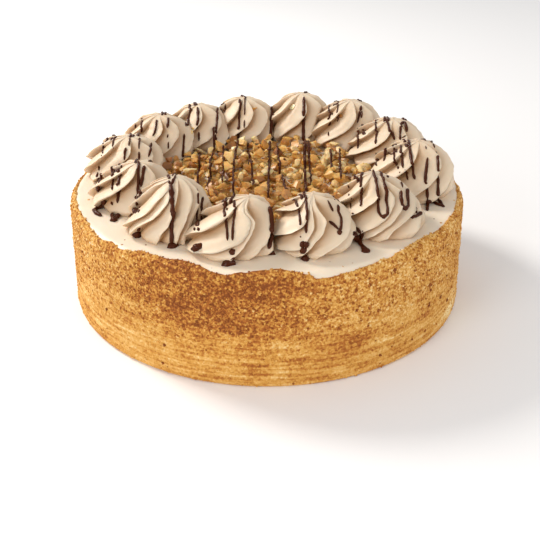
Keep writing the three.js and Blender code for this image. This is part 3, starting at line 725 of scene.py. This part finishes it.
STROKES = {
    "left": [
        (1.8, (107.5, 136.5), (106.5, 139), (105.3, 142)),
        (1.9, (103.8, 143), (103.3, 148), (103, 153.5)),
        (1.5, (102.2, 155), (101.5, 158)),
        (1.7, (116.5, 136.5), (113.8, 140), (113, 144), (112.8, 149)),
        (1.8, (99, 166), (99.5, 171)),
        (2.2, (98, 172.5), (97.7, 176), (97.5, 180)),
        (4.6, (97.8, 186), (98.2, 189), (98.8, 192)),
        (1.8, (130, 138), (129.3, 142), (129, 146)),
        (2.4, (126, 148), (125, 152), (124.7, 156), (124.5, 160)),
        (2, (122, 161.5), (121.6, 165), (121.3, 168)),
        (3, (119.8, 169), (119.7, 176), (118.7, 184), (118.3, 192), (118.6, 197), (117.8, 203)),
        (2.5, (114, 162), (113.2, 170), (112.9, 180), (112.4, 190)),
        (3, (111.5, 202), (112.8, 205)),
        (1.8, (139, 114.5), (138, 118), (137, 122)),
        (2, (135.6, 124), (135, 128)),
        (2.1, (134.6, 132), (133.9, 135), (133, 137)),
        (2, (142.7, 114.5), (142, 120), (141.5, 128), (141, 137)),
        (2, (139.6, 138), (139.2, 143), (139, 149)),
        (2.2, (139, 152), (139.2, 156), (139, 160)),
        (3, (138.6, 161), (138.6, 168), (138.6, 176), (138.3, 184), (137.6, 196)),
        (3.2, (136, 196), (135.6, 199), (136.2, 202), (137.2, 205)),
        (5, (134.2, 210), (135.8, 212.5)),
        (2.3, (151.5, 143), (150.5, 150), (148.5, 157)),
        (3, (146, 158), (144.3, 166), (143.2, 174), (141.7, 182), (141, 187)),
        (2.2, (157, 120), (156.2, 126), (154.7, 133), (152.8, 136)),
        (1.8, (162.8, 112), (160.5, 117)),
        (2.2, (168.6, 112), (167.6, 118), (168.3, 122), (167.3, 128)),
        (1.5, (168, 134.5), (167.3, 138)),
        (1.8, (168.5, 142), (168.3, 149)),
        (2.2, (190, 105), (190, 112), (188.3, 119), (187.5, 126)),
        (2.2, (185.4, 122.5), (186, 126.5)),
        (2.5, (197, 103), (198, 112), (198, 120), (196.5, 129)),
        (1.8, (199, 132), (199, 141)),
        (2.2, (184, 134), (183.5, 145), (183, 152), (182.5, 161)),
    ],
    "back": [
        (2.4, (218.3, 97), (217.6, 108), (217, 119), (216, 132), (215, 145)),
        (1.6, (225.7, 96.7), (225.3, 104), (225, 113)),
        (2.2, (240, 99.5), (239.6, 111), (239.3, 122), (238.8, 134), (238.3, 145)),
        (1.6, (245, 98), (244.8, 107), (244.6, 115)),
        (1.5, (244.5, 120), (244.3, 128)),
        (2.8, (271.7, 107), (271.5, 118), (270.8, 128), (270, 138)),
        (3, (304, 92), (304, 103), (303.8, 115), (303.5, 128), (303.3, 141)),
    ],
    "front": [
        (2.8, (169.5, 175.5), (168.6, 181), (170.5, 184.5)),
        (2.8, (175.5, 175.5), (173.4, 180), (172.2, 184.5)),
        (4.6, (171, 184), (171.2, 192), (172, 200), (173, 207), (172.6, 214), (172, 222), (172, 230),
         (172, 237), (172.2, 243)),
        (2.2, (197, 189), (198, 195), (198.3, 203), (197.3, 210), (196.2, 226)),
        (3.6, (194.6, 228), (195, 230.5)),
        (3.6, (198.2, 228), (199, 230.8)),
        (2.2, (204.3, 188.5), (204.3, 194)),
        (2.4, (203, 197), (201.6, 204), (201, 211)),
        (3.4, (200.7, 216), (201.3, 220), (202.8, 225)),
        (2.4, (222.9, 190), (223.3, 200), (224.2, 210), (225.8, 220), (227.2, 230), (227.5, 240.5)),
        (2.6, (234.2, 200), (234.7, 210), (232.8, 230), (232.5, 240.5)),
        (2.2, (269.2, 180), (268.8, 190), (267.5, 201), (268.3, 207.5)),
        (4.6, (269, 207), (270.8, 215), (271.7, 225), (271.5, 235), (269.8, 243), (268.6, 249)),
        (2.4, (291.7, 196), (292.5, 200), (296.5, 201.5), (298.3, 208.3), (300, 218.3), (301.2, 229.2)),
        (2.8, (306.5, 182), (305.8, 190), (305.8, 200), (307.5, 213.3), (306.4, 223.3), (306.2, 233.3)),
        (1.6, (300.3, 236), (301, 237.5)),
    ],
    "right": [
        (1.8, (328.5, 101), (329, 110), (329.5, 118), (328.7, 126)),
        (1.8, (328.7, 132), (328.6, 136)),
        (1.3, (338, 101), (337.6, 110), (337.5, 122)),
        (2.9, (361, 100), (361, 106), (360.3, 111)),
        (2, (360, 111), (358.7, 118), (357.4, 123)),
        (1.8, (361.9, 111), (361.4, 118)),
        (1.6, (362, 124), (362.8, 130), (363.5, 135)),
        (1.8, (357.2, 132), (358.2, 137), (358.6, 140)),
        (2, (377.3, 109.5), (380, 112.5)),
        (2, (377.5, 113), (376.6, 120), (376, 128), (376.5, 136), (375.5, 144)),
        (1.9, (376, 153), (376, 160), (377, 166)),
        (2.4, (385, 115), (386, 119), (388.4, 125), (389.6, 131), (393, 134.5), (394.5, 140), (394.2, 150),
         (394.5, 160), (396.2, 166)),
        (1.5, (388, 152.5), (391, 154.4), (393.3, 154.2)),
        (2.4, (398, 166.5), (398.3, 169)),
        (1.8, (400, 172.5), (400.6, 175)),
        (2, (401, 182), (402.6, 187.5)),
        (2.3, (403, 121.8), (400.7, 125), (400, 135), (400.5, 145), (401.5, 155), (402.5, 163), (403, 168)),
        (2.1, (405, 170), (406.8, 175), (408, 180)),
        (2.8, (403.5, 121.8), (405.5, 125), (406.7, 132), (408.5, 140), (410, 150), (411.2, 159), (413, 168),
         (413.5, 175), (415, 179.5)),
        (1.3, (402, 138), (406, 135.5)),
        (1.6, (426, 136.5), (425, 142)),
        (1.6, (427, 137.3), (430.3, 140.3)),
        (1.8, (433, 144), (434.6, 148)),
        (1.6, (425.6, 146), (426.1, 149.3)),
        (2.8, (436, 152), (437.6, 160), (438.1, 170), (438, 190), (437.6, 199)),
        (2.8, (427.5, 158), (426.6, 166), (425.6, 175), (425.2, 182), (427, 190), (427.6, 199)),
        (3.4, (427.4, 199), (427.2, 211)),
        (3.6, (427.5, 200), (433, 202), (438, 205), (442.5, 206.3)),
        (3, (437.6, 199), (440, 202), (442.5, 205)),
        (3.4, (428, 211), (421.5, 212.8), (416, 216.5), (412, 217)),
        (2.6, (416.3, 208), (417, 213)),
        (2.4, (360, 168.5), (361, 176), (361, 186), (361.5, 196), (361.2, 205), (361, 212)),
        (3, (373, 170), (375.2, 178), (377, 186), (378.4, 196), (378.2, 206), (378.6, 212), (381, 216),
         (384.5, 217.5), (387.6, 214), (387.6, 208), (386.2, 200), (387, 192), (385, 186), (383, 178),
         (380.3, 173)),
        (2.2, (379.4, 167), (378, 171.5)),
        (3.2, (401, 190.5), (401, 198), (402.2, 205), (405, 209.3), (408.3, 206), (407.5, 198), (407, 189)),
        (2.4, (409.3, 187.5), (407, 188.5)),
        (2.2, (327.5, 200.5), (330, 205), (333, 211.5)),
        (2, (324, 192.5), (324, 196)),
        (1.6, (334.2, 186), (336, 190)),
        (2.2, (336, 193), (337.5, 199)),
        (1.7, (348, 185), (349, 188)),
        (2.2, (349, 194), (351, 199)),
        (1.2, (351, 203), (351, 209)),
        (2.4, (352, 213.5), (354, 214.2)),
        (3, (337.6, 205), (338.3, 212), (341, 218), (341.2, 225), (339.6, 232)),
        (3.4, (329, 221.3), (334, 225), (338.5, 229.8)),
        (3.4, (356.5, 227.5), (360, 232), (362, 238)),
        (3.2, (362.6, 231), (362.4, 236), (362, 241)),
        (5.6, (353.5, 235), (361.5, 246), (365.5, 251.5)),
    ],
    "smears": [
        (4.6, (104, 200), (102.8, 204.5), (98.5, 208), (94, 211), (97, 214), (101.5, 216.5)),
        (4.2, (112, 212.5), (112.6, 217), (113.4, 221.5)),
        (4.2, (119, 213.3), (116.7, 218), (114.4, 221.5)),
    ],
}
# Each drop: where it lies, half its width and length, and how far it narrows away from the viewer.
DROPS = [
    (-93.7, -30.7, 71.7, 1.4, 2.1, 0), (-82.2, -53.1, 62.8, 2.1, 1.9, 0), (-69.8, -55.9, 69.6, 1.6, 1.6, 0),
    (-67, -71.9, 64.2, 2.6, 2.8, 0), (-65.4, -74.6, 68.4, 1, 1.8, 0), (-47.6, -82.6, 62.8, 2.4, 3.2, 0.2),
    (-33.6, -94.1, 67.9, 2.4, 2.8, 0.1), (-36.2, -92.7, 66.4, 1, 1, 0), (-16.6, -100.3, 68.8, 1.5, 1.7, 0),
    (-17.3, -101.8, 65.6, 1, 2.3, 0), (-18.2, -101, 62.8, 3.3, 3.4, 0.6), (0.8, -89.6, 62.8, 2.5, 4.2, 0.6),
    (16.9, -96.8, 71.1, 1.4, 1.6, 0), (18.5, -97.8, 71.6, 1.4, 1.6, 0), (17.7, -97, 68.2, 1.8, 2.3, 0),
    (18.5, -96.3, 65, 1.5, 2, 0), (18.6, -96, 63, 2.2, 2.2, 0.2), (35.3, -90.1, 74.2, 1.3, 1.3, 0),
    (59, -75.9, 76, 1.3, 1.2, 0), (70.7, -67.2, 76.4, 1.4, 1.3, 0), (74.9, -67.8, 71.9, 1.2, 1.1, 0),
    (98, -35.3, 62.8, 1.1, 1, 0), (49.2, -88, 62.8, 2.1, 2.1, 0),
]

# Set chocolate sauce: dark and glossy, and a little cloudy in spots 4 mm across.
chocolate, tree, shader = new_material("dark chocolate sauce")
where = add(tree, "ShaderNodeTexCoord").outputs["Object"]
cloudy = add(tree, "ShaderNodeTexNoise", Vector=where, Scale=250.0, Detail=2.0)
cocoa = add(tree, "ShaderNodeMix", {"data_type": "RGBA"}, _0=cloudy.outputs["Fac"],
            _6=linear("#381509"), _7=linear("#54270e"))
tree.links.new(cocoa.outputs[2], shader.inputs["Base Color"])
shader.inputs["Roughness"].default_value = 0.25
shader.inputs["Specular IOR Level"].default_value = 0.14

cream_trees = carrying[:]
carrying.append(tree_of(nut_piece))
corners = [Vector((x, y, 0)) * MM for pair in zip(FRONT_TURNS, BACK_TURNS) for x, y in pair]
dice = random.Random(5)
lines = bpy.data.curves.new("lines", "CURVE")
lines.dimensions = "3D"
lines.bevel_depth = 1.0
lines.bevel_resolution = 2
lines.use_fill_caps = True


def thread(run, width, phase, over_nuts=False):
    """One unbroken stretch of sauce: thin at its ends, with the cone's uneven flow between them. On
    nuts it spans the gaps."""
    places = [point.copy() for point in run]
    if over_nuts:
        for i, place in enumerate(places):
            place.z = max(point.z for point in run[max(i - 4, 0):i + 5]) + 0.0002
    for _ in range(2):
        heights = [point.z for point in places]
        for i in range(1, len(run) - 1):
            middle = (heights[i - 1] + heights[i + 1]) / 2
            places[i].z = (heights[i] + middle) / 2 if over_nuts else max(heights[i], middle)
    spline = lines.splines.new("POLY")
    spline.points.add(len(run) - 1)
    for i, point in enumerate(places):
        taper = between(-2, 3, min(i, len(run) - 1 - i))
        spline.points[i].co = (*point, 1)
        spline.points[i].radius = width * (1 + 0.42 * noise.noise(Vector((i * 0.16, phase, 0)))) * taper * MM


for number, (start, end) in enumerate(zip(corners, corners[1:])):
    steps = round((end - start).length / (0.5 * MM))
    width = 0.8 * (1.4 if number in THICK_LINES else 1) * dice.uniform(0.85, 1.15)
    run = []
    for step in range(steps + 1):
        spot = start.lerp(end, step / steps)
        sway = 0.8 * math.sin(spot.y / MM * 0.13 + 2.1 * (number // 2)) + 0.6 * noise.noise(spot / MM * 0.2)
        spot.x += sway * MM
        point, normal = highest(spot.x, spot.y, carrying)
        on_nuts = point.z < (CREAM_TOP + 8) * MM and math.hypot(spot.x, spot.y) < NUT_BED_RADIUS * MM
        traced = normal.y < -0.1 or on_nuts
        if run and (traced or abs(point.z - run[-1].z) > 0.005):
            if len(run) > 4:
                thread(run, width, number * 7.3 + step)
            run = []
        if not traced:
            run.append(point)
    if len(run) > 4:
        thread(run, width, number * 7.3)


def stops_along(path):
    """Spots every 0.6 mm or so along a measured path."""
    stops = [Vector(path[0])]
    for end in map(Vector, path[1:]):
        start, parts = stops[-1], max(round((end - stops[-1]).length / 0.6), 1)
        stops += [start.lerp(end, part / parts) for part in range(1, parts + 1)]
    return stops if len(stops) > 4 else [stops[0].lerp(stops[-1], part / 4) for part in range(5)]


looking = (-VIEWPOINT).to_track_quat("-Z", "Y")


def sight(pixel):
    """The direction in which the camera sees a pixel."""
    across = (pixel[0] / PHOTO_WIDTH - 0.5 + SHIFT_X) * SENSOR / LENS
    upwards = (0.5 - pixel[1] / PHOTO_WIDTH + SHIFT_Y) * SENSOR / LENS
    return looking @ Vector((across, upwards, -1)).normalized()


def half_width(pixels, path):
    """Half a width in mm, from its pixels and the distance of a path, in mm, to the camera."""
    distance = sum((spot - VIEWPOINT / MM).length for spot in path) / len(path)
    return pixels / 2 * distance * SENSOR / (LENS * PHOTO_WIDTH)


HEAP_TOP = 67.5
for number, (width, *pixels) in enumerate(NUT_LINES):
    path = []
    for direction in map(sight, pixels):
        reach = (HEAP_TOP * MM - VIEWPOINT.z) / direction.z
        path.append((VIEWPOINT + direction * reach) / MM)
    spots = [spot + Vector((0.7 * noise.noise(spot.to_3d() * 0.25), 0))
             for spot in stops_along([spot.xy for spot in path])]
    run = [highest(spot.x * MM, spot.y * MM, carrying)[0] for spot in spots]
    thread(run, half_width(width, path), number * 5.7, True)


def on_cream(spot):
    """The place on the cream nearest to a spot in mm, and which way the cream faces there."""
    found = [tree.find_nearest(spot * MM) for tree in cream_trees]
    point, normal, _, _ = min(found, key=lambda nearest: nearest[3])
    return point, normal


# Where a stroke's pixels are further apart than this, one more is put halfway between them.
LONG_STEP = 8.5
# What the photo's soft edges hide of a stroke's width, in pixels.
SOFT_EDGE = 0.15
# The cream inside this radius lies under the nuts.
RING_INNER = 62
seen_trees = [*cream_trees, tree_of(coat)]
ICING, COAT = 0, len(cream_trees)


def runs_on_cream(pixels):
    """Where the camera sees a stroke on the cream, in mm. It is parted where it jumps a gap."""
    closer = [Vector(pixels[0])]
    for pixel in map(Vector, pixels[1:]):
        if (pixel - closer[-1]).length > LONG_STEP:
            closer.append((pixel + closer[-1]) / 2)
        closer.append(pixel)
    runs, last = [[]], None
    for direction in map(sight, closer):
        hits = [tree.ray_cast(VIEWPOINT, direction) for tree in seen_trees]
        seen = [(hit[3], index, hit[0] / MM) for index, hit in enumerate(hits) if hit[0] is not None]
        if not seen:
            continue
        _, index, point = min(seen)
        if index == COAT or (index == ICING and point.xy.length < RING_INNER):
            continue
        gap = (point - runs[-1][-1]).length if runs[-1] else 0
        if gap > 26 or (gap > 13 and index != last):
            runs.append([])
        runs[-1].append(point)
        last = index
    return [run for run in runs if len(run) > 1]


number = 0
for width, *pixels in (stroke for part in STROKES.values() for stroke in part):
    for path in runs_on_cream(pixels):
        half = half_width(width + SOFT_EDGE, path)
        run = [point + normal * 0.3 * half * MM for point, normal in map(on_cream, stops_along(path))]
        thread(run, half, number * 3.1)
        number += 1
drizzle_curve = bpy.data.objects.new("drizzle_curve", lines)
bpy.context.scene.collection.objects.link(drizzle_curve)
bpy.context.view_layer.update()
drawn = bpy.data.meshes.new_from_object(drizzle_curve.evaluated_get(bpy.context.evaluated_depsgraph_get()))
bpy.data.objects.remove(drizzle_curve)

drizzle = bmesh.new()
bmesh.ops.create_uvsphere(drizzle, u_segments=20, v_segments=12, radius=1.0)
for group, (x, y, z, wide, long, taper) in zip(copies_of(drizzle, [0.0] * len(DROPS)), DROPS):
    under, normal = on_cream(Vector((x, y, z)))
    lying = normal.lerp(Vector((0, 0, 1)), 0.1).to_track_quat("Z", "Y").to_matrix()
    for vert in group:
        point = vert.co * (1 + 0.3 * noise.noise(vert.co * 1.3 + Vector((x, y, 0))))
        point.x *= wide * (1 - taper * point.y)
        vert.co = under + lying @ Vector((point.x, point.y * long, point.z * 0.85 * wide + 0.1)) * MM
drizzle.from_mesh(drawn)
put_in_place("chocolate_lines", drizzle, chocolate)


# ---- Table, light and camera ----
# A plain pale surface and soft studio light from above and behind on the left.
floor = bmesh.new()
bmesh.ops.create_grid(floor, x_segments=1, y_segments=1, size=3.0)
mesh = bpy.data.meshes.new("table")
floor.to_mesh(mesh)
floor.free()
table = bpy.data.objects.new("table", mesh)
bpy.context.scene.collection.objects.link(table)
pale, tree, shader = new_material("pale studio paper")
shader.inputs["Base Color"].default_value = linear("#fbfafa")
shader.inputs["Roughness"].default_value = 0.9
mesh.materials.append(pale)

world = bpy.data.worlds.new("studio")
world.use_nodes = True
world.node_tree.nodes["Background"].inputs["Color"].default_value = (1, 1, 1, 1)
world.node_tree.nodes["Background"].inputs["Strength"].default_value = 0.6
bpy.context.scene.world = world


def soft_light(name, place, size, power, colour):
    lamp = bpy.data.lights.new(name, "AREA")
    lamp.shape = "DISK"
    lamp.size = size
    lamp.energy = power
    lamp.color = linear(colour)[:3]
    light = bpy.data.objects.new(name, lamp)
    light.location = place
    light.rotation_mode = "QUATERNION"
    light.rotation_quaternion = (Vector((0, 0, 0.05)) - Vector(place)).to_track_quat("-Z", "Y")
    bpy.context.scene.collection.objects.link(light)


soft_light("key", (-0.8, 0.5, 0.8), 0.35, 11, "#fffaf3")
soft_light("fill", (-0.7, -0.8, 0.5), 0.5, 4, "#ffffff")
soft_light("right", (0.9, -0.9, 0.4), 0.8, 3.6, "#ffffff")

view = bpy.data.cameras.new("view")
view.lens = LENS
view.sensor_width = SENSOR
view.shift_x = SHIFT_X
view.shift_y = SHIFT_Y
view.clip_start = 0.01
camera = bpy.data.objects.new("view", view)
camera.location = VIEWPOINT
camera.rotation_mode = "QUATERNION"
camera.rotation_quaternion = looking
bpy.context.scene.collection.objects.link(camera)
bpy.context.scene.camera = camera
bpy.context.scene.view_settings.view_transform = "Standard"
